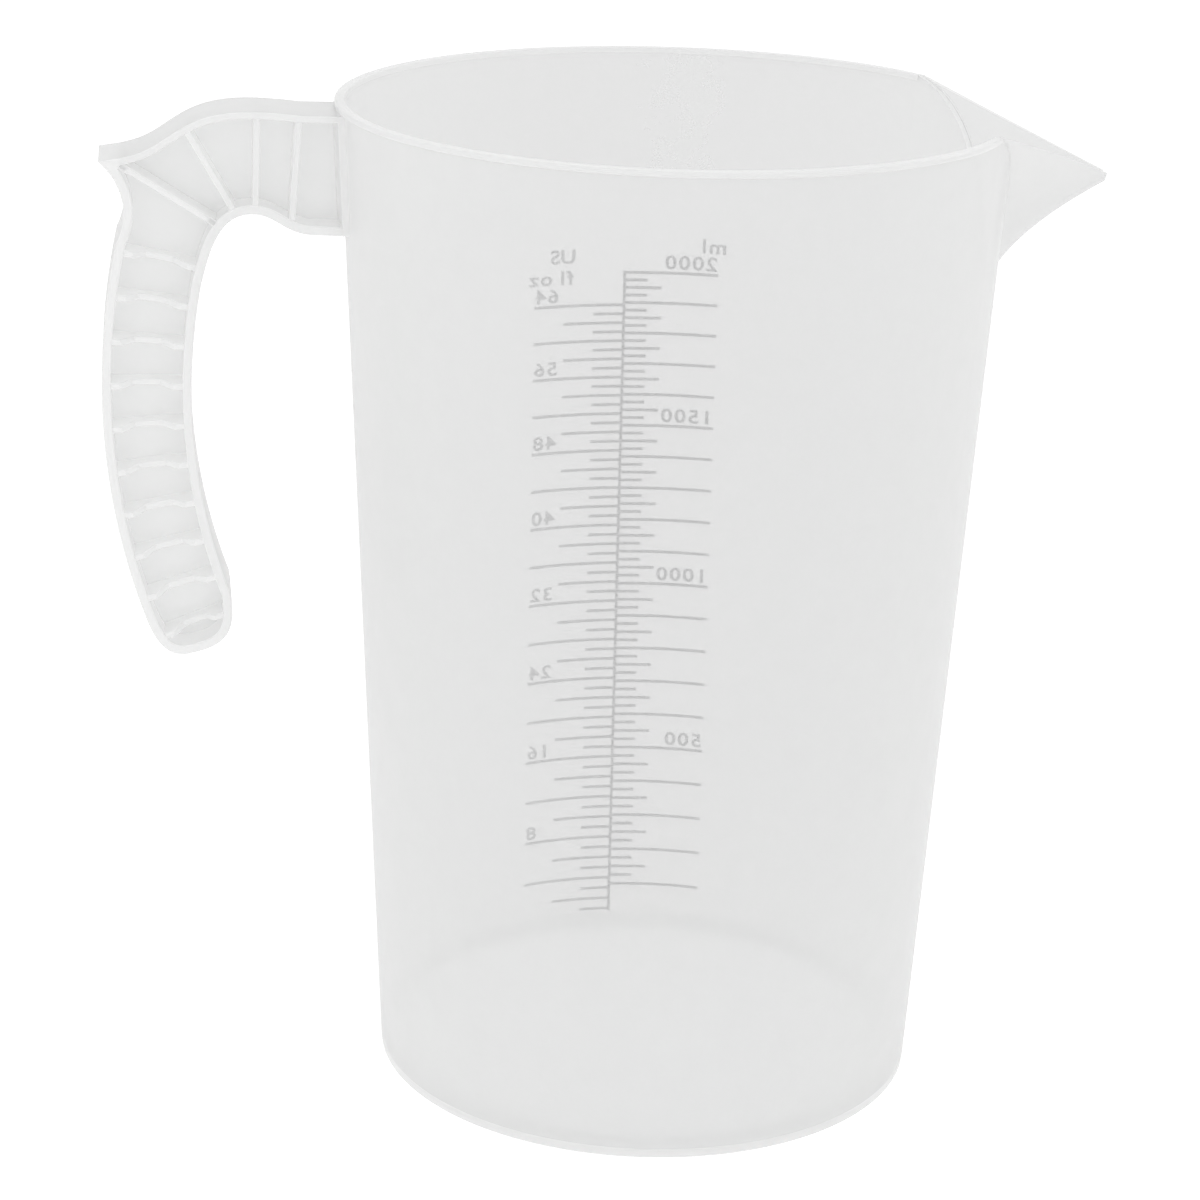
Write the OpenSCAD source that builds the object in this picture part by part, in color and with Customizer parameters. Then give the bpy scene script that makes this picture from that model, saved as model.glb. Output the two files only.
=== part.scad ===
// Two-litre measuring jug, moulded in one shot of translucent polypropylene.
// The jug's axis is Z and it stands on Z = 0. The spout points along +X, the
// handle along -X, and the printed scale is on the +Y side. Millimetres.

/* [Body] */
// Height from the surface it stands on to the top of the rim
jug_h = 216.5; // [212:0.5:222]
// Outside diameter at the foot
foot_d = 120; // [116:1:122]
// Outside diameter at the top, under the rim lip
top_d = 141.8; // [139:0.2:144]
// Thickness of the wall
wall_t = 1.5; // [1.2:0.1:1.9]
// Thickness of the floor
floor_t = 1.4; // [1.2:0.1:2]
// How far the floor is raised above the surface it stands on
foot_h = 0.6; // [0.4:0.1:1.2]
// Width of the standing ring inside the wall
foot_w = 5; // [3:0.5:10]
// Radius of the corner between the wall and the floor, inside
floor_fillet = 2.5; // [1:0.5:4]

/* [Rim] */
// How far the rim lip stands out from the wall
lip_out = 1; // [0.6:0.1:1.6]
// Height of the rim lip
lip_h = 1.3; // [1:0.1:2]
// Depth of the shallow seat inside the rim
seat_in = 0.3; // [0.1:0.05:0.5]
// Height of the shallow seat inside the rim
seat_h = 2.3; // [1.5:0.1:4]

/* [Spout] */
// Angle from the middle of the spout to each end of the rim
spout_half = 31; // [28:1:34]
// Reach of the spout from the jug's axis
spout_x = 93.9; // [90:0.1:98]
// Height of the lips at the tip of the spout
spout_z = 202.3; // [200:0.1:206]
// Height at which the spout leaves the wall
spout_root_z = 177.5; // [172:0.5:182]
// Half the width of the spout at its tip
spout_tip_w = 1.8; // [1.6:0.1:3]

/* [Handle] */
// Width of the flange that runs round the handle
handle_w = 17.5; // [14:0.5:22]
// Thickness of the centre web
web_t = 2; // [1.5:0.1:3]
// Thickness of the flange round the grip
flange_t = 1.9; // [1.5:0.1:2.2]
// Thickness of the flange along the top of the arm
top_flange_t = 1.4; // [1.2:0.1:1.9]
// Thickness of each rib
rib_t = 1.3; // [1:0.1:1.8]
// How much lower the middle of a grip rib is than its ends
rib_dish = 4; // [0:0.5:5]
// Radius of the side of the grip that faces the jug
grip_inner_r = 130; // [128:0.5:131]
// Radius of the palm side of the grip
grip_outer_r = 148.7; // [147:0.1:150]
// Number of ribs down the grip
grip_ribs = 10; // [6:1:11]

/* [Printed scale] */
// Line thickness of a graduation
line_w = 0.7; // [0.3:0.05:0.8]
// Line thickness of the upright in the middle of the scale
spine_w = 0.7; // [0.4:0.1:1.2]
// Thickness of the ink
ink_t = 0.1; // [0.08:0.01:0.2]
// Length of a line at each 100 ml, and at each 4 fl oz
long_mark = 22; // [18:0.5:24]
// Length of a line at each 50 ml
mid_ml_mark = 8.8; // [7:0.1:12]
// Length of a line at each 25 ml
short_ml_mark = 5.4; // [3:0.1:6]
// Length of a line at each 2 fl oz
mid_oz_mark = 14.5; // [12:0.1:17]
// Length of a line at each 1 fl oz
short_oz_mark = 7.3; // [4:0.1:10]
// Height of the numerals
digit_h = 3.2; // [2.6:0.1:3.6]
// Width of the numerals
digit_w = 2.7; // [2.2:0.1:2.8]
// Line thickness of the numerals
digit_line_w = 0.5; // [0.3:0.05:0.6]
// Distance from one numeral to the next
digit_pitch = 3.2; // [3.1:0.05:3.4]

/* [Hidden] */
$fn = 180;
plastic = [0.93, 0.935, 0.93, 0.55];
ink = [0.45, 0.46, 0.47];
eps = 0.01;

// ---- Jug body ----

foot_r = foot_d / 2;
top_r = top_d / 2;
floor_top = foot_h + floor_t;
taper = (top_r - foot_r) / jug_h;
taper_angle = atan(taper);
rim_z = jug_h - lip_h;

function r_out(z) = foot_r + taper * z;
function r_in(z) = r_out(z) - wall_t;
function arc(c, r, a0, a1, n) =
    [for (i = [0:n]) let (a = a0 + (a1 - a0) * i / n) c + r * [cos(a), sin(a)]];
function bezier3(p, t) =
    p[0] * pow(1 - t, 3) + 3 * p[1] * pow(1 - t, 2) * t
    + 3 * p[2] * (1 - t) * t * t + p[3] * pow(t, 3);
function bezier2(a, b, c, t) = a * (1 - t) * (1 - t) + 2 * b * (1 - t) * t + c * t * t;

// The tapered outside of the wall as a solid, grown by g
module body_cone(g = 0) {
    z0 = -5;
    z1 = jug_h + 10;
    translate([0, 0, z0]) cylinder(h = z1 - z0, r1 = r_out(z0) + g, r2 = r_out(z1) + g);
}

module jug_wall() {
    corner = 0.5;
    seat_slope_h = 1.4;
    clear = 1;
    seat_z = jug_h - seat_h;
    seat_end = seat_z - seat_slope_h;
    profile = concat(
        [[r_in(0), 0]],
        arc([r_out(0) - corner, corner], corner, -90, 0, 6),
        [[r_out(jug_h), jug_h],
         [r_in(jug_h) + seat_in, jug_h],
         [r_in(seat_z) + seat_in, seat_z],
         [r_in(seat_end), seat_end]]
    );
    // The rim lip takes the wall's place from one side of the spout to the other. Between its
    // ends the wall rises to meet the spout's channel.
    rim_space = [
        [r_in(rim_z) - clear, rim_z], [r_out(jug_h) + clear, rim_z],
        [r_out(jug_h) + clear, jug_h + clear], [r_in(rim_z) - clear, jug_h + clear]
    ];
    color(plastic) difference() {
        rotate_extrude() polygon(profile);
        rotate([0, 0, spout_half])
            rotate_extrude(angle = 360 - 2 * spout_half) polygon(rim_space);
        spout_opening();
    }
}

module jug_floor() {
    color(plastic) translate([0, 0, foot_h])
        cylinder(h = floor_t, r1 = r_in(foot_h), r2 = r_in(floor_top));
}

// The rounded corner between the wall and the floor
module floor_fillet() {
    corner_z = floor_top + floor_fillet;
    round_c = [r_in(corner_z) - floor_fillet, corner_z];
    profile = concat(arc(round_c, floor_fillet, 0, -90, 8), [[r_in(floor_top), floor_top]]);
    color(plastic) rotate_extrude() polygon(profile);
}

module foot_ring() {
    profile = [[r_in(0) - foot_w, 0], [r_in(0), 0],
        [r_in(foot_h), foot_h], [r_in(0) - foot_w - foot_h, foot_h]];
    color(plastic) rotate_extrude() polygon(profile);
}

module rim_lip() {
    round_r = 0.6;
    outer = r_out(jug_h) + lip_out;
    inner = r_in(jug_h) + seat_in;
    profile = concat(
        [[inner, rim_z], [outer - round_r / 2, rim_z]],
        arc([outer - round_r, jug_h - round_r], round_r, 0, 90, 6),
        arc([inner + round_r / 2, jug_h - round_r / 2], round_r / 2, 90, 180, 4)
    );
    color(plastic) rotate([0, 0, spout_half])
        rotate_extrude(angle = 360 - 2 * spout_half) polygon(profile);
}

// ---- Spout ----
// The spout is a flared channel. Across it, u runs from -1 at one lip through 0
// at the keel to 1 at the other lip. Along it, s runs from 0 at the wall to 1 at the tip.

spout_steps_u = 16;
spout_steps_s = 12;
tip_t = 0.8;
// Where the channel meets the wall: degrees round the jug against height
spout_edge = [[0, spout_root_z], [7, 196], [10, 207], [spout_half, jug_h]];

function keel_round(u) = (sqrt(u * u + 0.01) - 0.1) / (sqrt(1.01) - 0.1);
function edge_angle(u) = sign(u) * bezier3(spout_edge, abs(u))[0];
function edge_z(u) = bezier3(spout_edge, keel_round(u))[1];
function root_point(u) = let (z = edge_z(u), r = r_out(z) + 0.5 * lip_out * pow(abs(u), 8))
    [r * cos(edge_angle(u)), r * sin(edge_angle(u)), z];
function tip_point(u) = [spout_x, spout_tip_w * u, spout_z - 2.1 * (1 - keel_round(u))];
function bow_point(u) = let (k = keel_round(u)) [73.5 + 3.6 * k, 14.2 * u, 189 + 20.8 * k];
function skin(s, u) = bezier2(root_point(u), bow_point(u), tip_point(u), s);
function unit(v) = v / norm(v);
function skin_normal(s, u) = let (d = 0.01)
    unit(cross(skin(s + d, u) - skin(s - d, u), skin(s, u + d) - skin(s, u - d)));
// Towards the lips the lining is level with the skin, so that each lip has a flat top
function level(n, u) = unit([n[0], n[1], n[2] * (1 - pow(u, 6))]);
function lining(s, u) =
    skin(s, u) + (wall_t + (tip_t - wall_t) * s) * level(skin_normal(s, u), u);
// Slides a point along X until it is 0.3 mm inside the wall's outer face
function onto_wall(p) = [sqrt(pow(r_out(p[2]) - 0.3, 2) - p[1] * p[1]), p[1], p[2]];

us = [for (i = [-spout_steps_u:spout_steps_u]) i / spout_steps_u];
us_back = [for (i = [len(us) - 1:-1:0]) us[i]];

function spout_ring(s) = s == 0
    ? concat([for (u = us) onto_wall(skin(0, u))], [for (u = us_back) onto_wall(lining(0, u))])
    : concat([for (u = us) skin(s, u)], [for (u = us_back) lining(s, u)]);

// A closed loft through rings that all have the same number of points
module loft(rings) {
    n = len(rings[0]);
    last = (len(rings) - 1) * n;
    half = n / 2;
    points = [for (ring = rings, p = ring) p];
    sides = [for (j = [0:len(rings) - 2], i = [0:n - 1])
        let (a = j * n + i, b = j * n + (i + 1) % n)
        each [[a, b, a + n], [b, b + n, a + n]]];
    ends = [for (i = [0:half - 2]) each [
        [i, n - 1 - i, i + 1], [i + 1, n - 1 - i, n - 2 - i],
        [last + i, last + i + 1, last + n - 1 - i],
        [last + i + 1, last + n - 2 - i, last + n - 1 - i]]];
    polyhedron(points, concat(sides, ends), convexity = 6);
}

module spout() {
    color(plastic) loft([for (j = [0:spout_steps_s]) spout_ring(j / spout_steps_s)]);
}

// What is cut out of the wall where the spout's channel comes through
module spout_opening() {
    edge = [for (u = us) let (p = lining(0, u)) [p[1], p[2]]];
    last = edge[len(edge) - 1];
    outline = concat(edge, [[last[0], jug_h + 5], [-last[0], jug_h + 5]]);
    translate([r_in(0) / 2, 0, 0]) rotate([90, 0, 90]) linear_extrude(foot_r) polygon(outline);
}

// ---- Handle ----
// The outline is drawn in the XZ plane, as [x, z]. Arm and beak are curves, and the
// grip is two arcs about one centre.

grip_c = [28, 156];
arm_top_z = 214.7;
arm_low_z = 189.7;
beak = [-120.6, 205.2];
end_angle = 19.5;
root_t = 1.5;
curve_steps = 8;

function grip_point(r, a) = grip_c + r * [-cos(a), sin(a)];
function curve(p) = [for (i = [0:curve_steps]) bezier3(p, i / curve_steps)];
function grip_arc(r, a0, a1) =
    [for (i = [0:2 * curve_steps]) grip_point(r, a0 + (a1 - a0) * i / (2 * curve_steps))];
function tail(list) = [for (i = [1:len(list) - 1]) list[i]];

top_line = concat(
    [[-60, arm_top_z], [-79, arm_top_z + 0.1]],
    tail(curve([[-79, arm_top_z + 0.1], [-97, 217], [-101, 214], [-107.5, 209.6]])),
    tail(curve([[-107.5, 209.6], [-111.5, 206.8], [-114.5, 206], beak]))
);
palm_line = concat(
    tail(curve([beak, [-116, 201], [-114, 194.5], grip_point(grip_outer_r, 12.5)])),
    tail(grip_arc(grip_outer_r, 12.5, -end_angle))
);
end_line = concat(
    tail(curve([grip_point(grip_outer_r, -end_angle), [-110.2, 100.8], [-107.8, 97.4],
        [-103.5, 98]])),
    tail(curve([[-103.5, 98], [-96.5, 99.4], [-92.4, 101.5],
        grip_point(grip_inner_r, -end_angle - 0.5)]))
);
finger_line = concat(
    tail(grip_arc(grip_inner_r, -end_angle - 0.5, 10.5)),
    tail(curve([grip_point(grip_inner_r, 10.5), [-98.6, 184], [-97, 194.2], [-89.5, 194.3]])),
    tail(curve([[-89.5, 194.3], [-84, 194.3], [-83, arm_low_z + 0.3], [-76, arm_low_z + 0.2]])),
    [[-60, arm_low_z]]
);
skin_line = concat(top_line, palm_line, end_line, finger_line);
top_n = len(top_line);
palm_n = top_n + len(palm_line);
end_n = palm_n + len(end_line);
all_n = len(skin_line);

// The outline moved inwards by the flange's thickness, with mitred corners
function side(a, b) = let (d = b - a) [-d[1], d[0]] / norm(d);
function wall_of(i) = i < top_n - 1 ? top_flange_t : flange_t;
function mitre(n0, n1, t) = let (m = n0 + n1) m * t * 2 / (m * m);
function inset(i) =
    let (
        before = side(skin_line[max(i, 1) - 1], skin_line[max(i, 1)]),
        after = side(skin_line[min(i, all_n - 2)], skin_line[min(i, all_n - 2) + 1])
    )
    skin_line[i] + mitre(before, after, wall_of(i));
// The inside of the beak is too narrow for the points beside its tip
function has_inset(i) = abs(i - top_n + 1) != 1;
inside_line = [for (i = [0:all_n - 1]) if (has_inset(i)) inset(i)];

// Stands a drawing in the XZ plane up as a slab from y0 to y1
module slab(y0, y1) {
    translate([0, y1, 0]) rotate([90, 0, 0]) linear_extrude(y1 - y0) children();
}

// The strip of the flange between two points of the outline
module flange(first, last) {
    strip = concat([for (i = [first:last]) skin_line[i]],
        [for (i = [last:-1:first]) if (has_inset(i)) inset(i)]);
    color(plastic) difference() {
        slab(-handle_w / 2, handle_w / 2) polygon(strip);
        body_cone(root_t);
    }
}

module top_flange() {
    flange(0, top_n - 1);
}

module palm_flange() {
    flange(top_n - 1, palm_n - 1);
}

module end_flange() {
    flange(palm_n - 1, end_n - 1);
}

module finger_flange() {
    flange(end_n - 1, all_n - 1);
}

module handle_web() {
    color(plastic) difference() {
        slab(-web_t / 2, web_t / 2) polygon(inside_line);
        body_cone(root_t);
    }
}

// The pad that spreads the handle's load into the wall
module handle_root() {
    color(plastic) difference() {
        intersection() {
            body_cone(root_t);
            translate([-top_d, -handle_w / 2, arm_low_z])
                cube([top_d, handle_w, arm_top_z - arm_low_z]);
        }
        body_cone();
    }
}

// One straight rib on both sides of the web, from a to b, with its middle lowered by dish
module rib(a, b, dish = 0) {
    d = b - a;
    length = norm(d);
    y0 = web_t / 2;
    y1 = handle_w / 2 - 0.2;
    edge = dish == 0
        ? [[0, y0], [length, y0], [length, y1], [0, y1]]
        : [[0, y0], [length, y0], [length, y1], [length - 2.5, y1],
            [length - 5, y1 - dish], [5, y1 - dish], [2.5, y1], [0, y1]];
    translate([a[0], 0, a[1]]) rotate([0, -atan2(d[1], d[0]), 0])
        for (m = [0, 1]) mirror([0, m, 0])
            translate([0, 0, -rib_t / 2]) linear_extrude(rib_t) polygon(edge);
}

// Ribs are cut to the space inside the flange
module inside_flange() {
    intersection() {
        children();
        slab(-handle_w / 2, handle_w / 2) polygon(inside_line);
    }
}

module arm_ribs() {
    color(plastic) inside_flange() {
        rib([-104, 214], [-92.5, 194]);
        rib([-88.2, 216], [-88.6, 193]);
        rib([-79.5, 216], [-81.3, 189]);
    }
}

module beak_ribs() {
    color(plastic) inside_flange() {
        rib([-119.5, 206.2], [-104.3, 196.9], 2.5);
        rib([-103, 196.1], [-95, 191]);
    }
}

module grip_rib_set() {
    first = 11.8;
    step = 33.5 / (grip_ribs - 1);
    color(plastic) inside_flange()
        for (i = [0:grip_ribs - 1])
            let (a = first - i * step)
                rib(grip_point(grip_outer_r - flange_t - eps, a),
                    grip_point(grip_inner_r + flange_t + eps, a), rib_dish);
}

// ---- Printed scale ----
// A graduation stands where the jug holds that volume when it is filled to the line.

ml_per_oz = 29.5735;
full_ml = 2000;
low_ml = 100;
ml_step = 25;
full_oz = 64;

// Height of the liquid for a volume in millilitres, from the volume of a cone's frustum
function liquid_z(ml) =
    let (r0 = r_in(floor_top), r = pow(pow(r0, 3) + 3 * taper * ml * 1000 / PI, 1 / 3))
    floor_top + (r - r0) / taper;
function turn(length, z) = length / r_out(z) * 180 / PI;

// A patch of ink on the wall, from z0 to z1, over a stretch of it that is measured
// from the middle of the scale. A positive stretch runs towards the handle.
module patch(z0, z1, from, to) {
    profile = [[r_out(z0), z0], [r_out(z0) + ink_t, z0],
        [r_out(z1) + ink_t, z1], [r_out(z1), z1]];
    rotate([0, 0, 90 + turn(from, z0)]) rotate_extrude(angle = turn(to - from, z0)) polygon(profile);
}

module scale_spine() {
    color(ink) patch(liquid_z(ml_per_oz) - 0.6, liquid_z(full_ml) + line_w / 2,
        -spine_w / 2, spine_w / 2);
}

module ml_marks() {
    color(ink) for (ml = [low_ml:ml_step:full_ml]) {
        z = liquid_z(ml);
        reach = ml % 100 == 0 ? long_mark : ml % 50 == 0 ? mid_ml_mark : short_ml_mark;
        patch(z - line_w / 2, z + line_w / 2, -reach, -spine_w / 2);
    }
}

module fl_oz_marks() {
    color(ink) for (oz = [1:full_oz]) {
        z = liquid_z(oz * ml_per_oz);
        reach = oz % 4 == 0 ? long_mark : oz % 2 == 0 ? mid_oz_mark : short_oz_mark;
        patch(z - line_w / 2, z + line_w / 2, spine_w / 2, reach);
    }
}

// Each sign is a set of strokes on a grid 4 wide and 6 high
function strokes(sign) =
    sign == "0" ? [[[0, 1], [1, 0], [3, 0], [4, 1], [4, 5], [3, 6], [1, 6], [0, 5], [0, 1]]]
    : sign == "1" ? [[[1, 5], [2, 6], [2, 0]]]
    : sign == "2" ? [[[0, 5], [1, 6], [3, 6], [4, 5], [4, 4], [0, 0], [4, 0]]]
    : sign == "3" ? [[[0, 6], [4, 6], [2, 4], [3, 4], [4, 3], [4, 1], [3, 0], [1, 0], [0, 1]]]
    : sign == "4" ? [[[3, 0], [3, 6], [0, 2], [4, 2]]]
    : sign == "5" ? [[[4, 6], [0, 6], [0, 3.5], [3, 3.5], [4, 2.5], [4, 1], [3, 0], [0, 0]]]
    : sign == "6" ? [[[3.5, 6], [1, 5], [0, 3], [0, 1], [1, 0], [3, 0], [4, 1], [4, 2.5],
        [3, 3.5], [0, 3]]]
    : sign == "8" ? [[[1, 3], [0, 4], [0, 5], [1, 6], [3, 6], [4, 5], [4, 4], [3, 3], [4, 2],
        [4, 1], [3, 0], [1, 0], [0, 1], [0, 2], [1, 3], [3, 3]]]
    : sign == "U" ? [[[0, 6], [0, 1], [1, 0], [3, 0], [4, 1], [4, 6]]]
    : sign == "S" ? [[[4, 5], [3, 6], [1, 6], [0, 5], [0, 4], [4, 2], [4, 1], [3, 0], [1, 0],
        [0, 1]]]
    : sign == "f" ? [[[2.5, 6], [1.5, 5.5], [1.5, 0]], [[0.5, 4], [2.5, 4]]]
    : sign == "l" ? [[[1, 6], [1, 0]]]
    : sign == "o" ? [[[0, 1], [1, 0], [2.5, 0], [3.5, 1], [3.5, 3], [2.5, 4], [1, 4], [0, 3],
        [0, 1]]]
    : sign == "z" ? [[[0.3, 4], [3.3, 4], [0.3, 0], [3.3, 0]]]
    : sign == "m" ? [[[0, 0], [0, 4], [1.5, 4], [2, 3.4], [2, 0]],
        [[2, 3.4], [2.6, 4], [3.6, 4], [4, 3.4], [4, 0]]]
    : [];

// Draws one sign, digit_w wide and digit_h high, with square strokes
module sign_shape(sign) {
    pen = digit_line_w;
    cell = [(digit_w - pen) / 4, (digit_h - pen) / 6];
    for (line = strokes(sign), i = [0:len(line) - 2]) {
        a = [line[i][0] * cell[0], line[i][1] * cell[1]];
        d = [line[i + 1][0] * cell[0], line[i + 1][1] * cell[1]] - a;
        translate(a + [pen, pen] / 2) rotate(atan2(d[1], d[0]))
            translate([-pen / 2, -pen / 2]) square([norm(d) + pen, pen]);
    }
}

// Prints a word on the wall: each sign lies flat on the wall, and its foot is at z
module print_word(word, from, z, pitch = digit_pitch) {
    for (i = [0:len(word) - 1])
        rotate([0, 0, 90 + turn(from + (i + 0.5) * pitch, z)])
            translate([r_out(z), 0, z]) rotate([0, taper_angle, 0]) rotate([90, 0, 90])
                translate([-digit_w / 2, 0, -0.05])
                    linear_extrude(ink_t + 0.05) sign_shape(word[i]);
}

numeral_gap = 1;

module ml_numerals() {
    color(ink) for (ml = [500:500:full_ml])
        print_word(str(ml), -long_mark, liquid_z(ml) + numeral_gap);
}

module fl_oz_numerals() {
    color(ink) for (oz = [8:8:full_oz]) {
        word = str(oz);
        print_word(word, long_mark - len(word) * digit_pitch, liquid_z(oz * ml_per_oz) + numeral_gap);
    }
}

module unit_labels() {
    top_ml_z = liquid_z(full_ml) + numeral_gap;
    top_oz_z = liquid_z(full_oz * ml_per_oz) + numeral_gap;
    label_x = 12.1;
    color(ink) {
        print_word("ml", -long_mark - 1.3, top_ml_z + 1.3 * digit_h);
        print_word("US", label_x, top_oz_z + 2.85 * digit_h);
        print_word("fl", label_x, top_oz_z + 1.3 * digit_h, 0.6 * digit_pitch);
        print_word("oz", label_x + 1.65 * digit_pitch, top_oz_z + 1.3 * digit_h);
    }
}

// ---- Assembly ----

jug_wall();
jug_floor();
floor_fillet();
foot_ring();
rim_lip();
spout();
handle_root();
handle_web();
top_flange();
palm_flange();
end_flange();
finger_flange();
arm_ribs();
beak_ribs();
grip_rib_set();
scale_spine();
ml_marks();
fl_oz_marks();
ml_numerals();
fl_oz_numerals();
unit_labels();
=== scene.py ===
"""A two-litre measuring jug in translucent polypropylene, on a pale floor in soft studio light.

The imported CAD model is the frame. Each visible piece is rebuilt here as a smooth closed mesh in
the same place. Lengths are in millimetres until a mesh is made, which is in metres.
"""

import math

import bmesh
import bpy
from mathutils import Matrix, Vector


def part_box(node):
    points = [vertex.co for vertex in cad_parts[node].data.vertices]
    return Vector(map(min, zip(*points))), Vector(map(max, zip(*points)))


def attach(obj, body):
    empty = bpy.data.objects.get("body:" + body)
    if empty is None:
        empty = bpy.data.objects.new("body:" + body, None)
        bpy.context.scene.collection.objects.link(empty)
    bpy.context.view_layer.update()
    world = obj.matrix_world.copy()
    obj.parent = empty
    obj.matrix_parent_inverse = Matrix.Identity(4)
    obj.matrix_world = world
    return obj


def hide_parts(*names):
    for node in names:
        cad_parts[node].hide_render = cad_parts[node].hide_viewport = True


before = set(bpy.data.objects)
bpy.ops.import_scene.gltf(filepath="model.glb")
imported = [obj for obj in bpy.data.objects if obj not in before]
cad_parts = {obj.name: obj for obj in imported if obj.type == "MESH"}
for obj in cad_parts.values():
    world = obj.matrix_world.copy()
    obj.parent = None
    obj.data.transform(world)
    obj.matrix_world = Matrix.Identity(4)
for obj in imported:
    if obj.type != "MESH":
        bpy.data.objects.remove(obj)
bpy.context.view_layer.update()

MM = 0.001


def corners(node):
    """The lowest and highest corner of a CAD node, in millimetres."""
    low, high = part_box(node)
    return low / MM, high / MM


# ---- Sizes, measured on the CAD nodes where their boxes show them ----

RIM_LOW, RIM_HIGH = corners("rim_lip")
FLOOR_LOW, FLOOR_HIGH = corners("jug_floor")
_, FILLET_HIGH = corners("floor_fillet")
_, SPOUT_HIGH = corners("spout")
FLANGE_LOW, FLANGE_HIGH = corners("palm_flange")
WEB_LOW, WEB_HIGH = corners("handle_web")
ROOT_LOW, ROOT_HIGH = corners("handle_root")
SPINE_LOW, SPINE_HIGH = corners("scale_spine")

JUG_H = RIM_HIGH.z
RIM_Z = RIM_LOW.z
LIP_OUT = 1.0
TOP_R = RIM_HIGH.y - LIP_OUT
FOOT_R = 60.0
TAPER = (TOP_R - FOOT_R) / JUG_H
WALL_T = 1.5
FOOT_H = FLOOR_LOW.z
FLOOR_TOP = FLOOR_HIGH.z
FLOOR_FILLET = FILLET_HIGH.z - FLOOR_TOP
FOOT_W = 5.0
SEAT_IN = 0.3
SEAT_H = 2.3
SEAT_SLOPE_H = 1.4
SEAT_Z = JUG_H - SEAT_H
SEAT_END = SEAT_Z - SEAT_SLOPE_H
FOOT_CORNER = 0.5
FOOT_BAND = 2.2

# The gap that keeps two touching pieces from sharing a surface
SKIN_GAP = 0.02
# The width of each upright strip of a round piece
COLUMN_DEG = 2.0
# The rim lip narrows to RIM_END of its overhang over the last RIM_FADE degrees
RIM_FADE = 9.0
RIM_END = 0.55
# Points closer than MERGE_GAP become one, and edges shorter than THIN_EDGE are dissolved
MERGE_GAP = 0.002
THIN_EDGE = 0.001
SHARP_DEG = 38


def r_out(z):
    return FOOT_R + TAPER * z


def r_in(z):
    return r_out(z) - WALL_T


def on_cone(radius, degrees, z):
    a = math.radians(degrees)
    return Vector((radius * math.cos(a), radius * math.sin(a), z))


def arc(centre, radius, start, end, steps):
    """Points [across, up] on an arc, from start to end degrees."""
    turns = [math.radians(start + (end - start) * i / steps) for i in range(steps + 1)]
    return [(centre[0] + radius * math.cos(a), centre[1] + radius * math.sin(a)) for a in turns]


def spread(low, high, steps):
    return [low + (high - low) * i / steps for i in range(steps + 1)]


def outwards(p):
    """The level direction from the jug's axis to p."""
    return Vector((p.x, p.y, 0)).normalized()


# ---- Meshes ----


def add_rings(mesh, rings, loop=False):
    """Adds closed rings of points, with faces from each ring to the next, and gives the rings'
    vertices. loop joins the last ring to the first as well."""
    made = [[mesh.verts.new(p * MM) for p in ring] for ring in rings]
    following = made[1:] + (made[:1] if loop else [])
    for near, far in zip(made, following):
        for i in range(len(near)):
            k = (i + 1) % len(near)
            mesh.faces.new((near[i], near[k], far[k], far[i]))
    return made


def add_rod(mesh, rings):
    """Adds rings with a face across the first and the last, so that they close a solid."""
    made = add_rings(mesh, rings)
    mesh.faces.new(made[0])
    mesh.faces.new(made[-1])


def make_rod(name, rings, materials, replaced, paint=None):
    """A plastic piece through the rings, closed across both ends."""
    mesh = bmesh.new()
    add_rod(mesh, rings)
    finish_mesh(mesh, name, materials, replaced, paint)


def make_loop(name, rings, materials, replaced, paint=None):
    """A plastic piece through the rings, and back from the last to the first."""
    mesh = bmesh.new()
    add_rings(mesh, rings, loop=True)
    finish_mesh(mesh, name, materials, replaced, paint)


def finish_mesh(mesh, name, materials, replaced, paint=None):
    """Makes the visible piece from its mesh. paint gives the number of a face's material in the
    list, from the face's centre and normal."""
    bmesh.ops.remove_doubles(mesh, verts=mesh.verts, dist=MERGE_GAP * MM)
    bmesh.ops.dissolve_degenerate(mesh, edges=mesh.edges, dist=THIN_EDGE * MM)
    bmesh.ops.recalc_face_normals(mesh, faces=mesh.faces)
    for face in mesh.faces:
        face.smooth = True
        if paint is not None:
            face.material_index = paint(face.calc_center_median() / MM, face.normal)
    data = bpy.data.meshes.new(name)
    mesh.to_mesh(data)
    mesh.free()
    data.set_sharp_from_angle(angle=math.radians(SHARP_DEG))
    for material in materials:
        data.materials.append(material)
    piece = bpy.data.objects.new(name, data)
    bpy.context.scene.collection.objects.link(piece)
    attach(piece, "root")
    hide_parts(*replaced)


# ---- Materials ----


def node_tree(name):
    material = bpy.data.materials.new(name)
    material.use_nodes = True
    tree = material.node_tree
    tree.nodes.clear()
    return material, tree


def add(tree, kind, **values):
    """A node with the given input sockets set by name."""
    node = tree.nodes.new(kind)
    for key, value in values.items():
        node.inputs[key.replace("_", " ")].default_value = value
    return node


def noise(tree, scale, detail):
    """Noise in object space: scale is in features a metre."""
    where = tree.nodes.new("ShaderNodeTexCoord")
    node = add(tree, "ShaderNodeTexNoise", Scale=scale, Detail=detail, Roughness=0.6)
    tree.links.new(where.outputs["Object"], node.inputs["Vector"])
    return node


def ranged(tree, source, low, high):
    """source, from 0.3 to 0.7, spread between low and high."""
    node = add(tree, "ShaderNodeMapRange", From_Min=0.3, From_Max=0.7, To_Min=low, To_Max=high)
    tree.links.new(source, node.inputs["Value"])
    return node.outputs["Result"]


def blend(tree, share, first, second):
    """The colour that is share of the way from the first to the second."""
    node = tree.nodes.new("ShaderNodeMix")
    node.data_type = "RGBA"
    node.inputs[6].default_value = (*first, 1)
    node.inputs[7].default_value = (*second, 1)
    tree.links.new(share, node.inputs[0])
    return node.outputs[2]


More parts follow.
